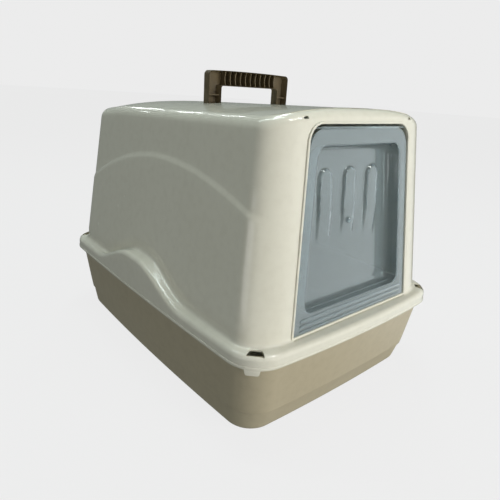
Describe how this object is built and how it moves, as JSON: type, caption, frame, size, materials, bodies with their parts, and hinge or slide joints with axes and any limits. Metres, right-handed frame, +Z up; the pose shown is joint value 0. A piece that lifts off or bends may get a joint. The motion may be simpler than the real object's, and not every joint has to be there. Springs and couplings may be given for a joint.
{
  "type": "cat litter box with hood",
  "caption": "Covered cat litter box: a stepped litter tray under a lift-off hood with a clear swinging door, a carrying handle and a filter under roof vents.",
  "frame": {"origin": "on the floor, under the middle of the box", "axes": "+Z up, -Y towards the door end, +Y towards the closed rear end, +X to the right seen from the door"},
  "size_m": [0.3896, 0.54, 0.429],
  "materials": {
    "tray_plastic": "smooth taupe moulding, slightly glossy",
    "hood_plastic": "glossy cream moulding with a faint fleck",
    "clear_plastic": "smoky blue clear plastic",
    "handle_plastic": "dark brown satin moulding",
    "filter_foam": "black carbon felt"
  },
  "bodies": {
    "tray": {"tray": "tray_plastic"},
    "hood": {"hood": "hood_plastic", "carry_handle": "handle_plastic", "filter_holder": "handle_plastic", "carbon_filter": "filter_foam"},
    "door": {"door_flap": "clear_plastic"}
  },
  "joints": [
    {"name": "hood_lift", "type": "slide", "parent": "tray", "child": "hood", "axis": [0, 0, 1], "range_m": [0, 0.2]},
    {"name": "door_swing", "type": "hinge", "parent": "hood", "child": "door", "pos_m": [0, -0.22221, 0.37127], "axis": [1, 0, 0], "range_deg": [-85, 70]}
  ]
}
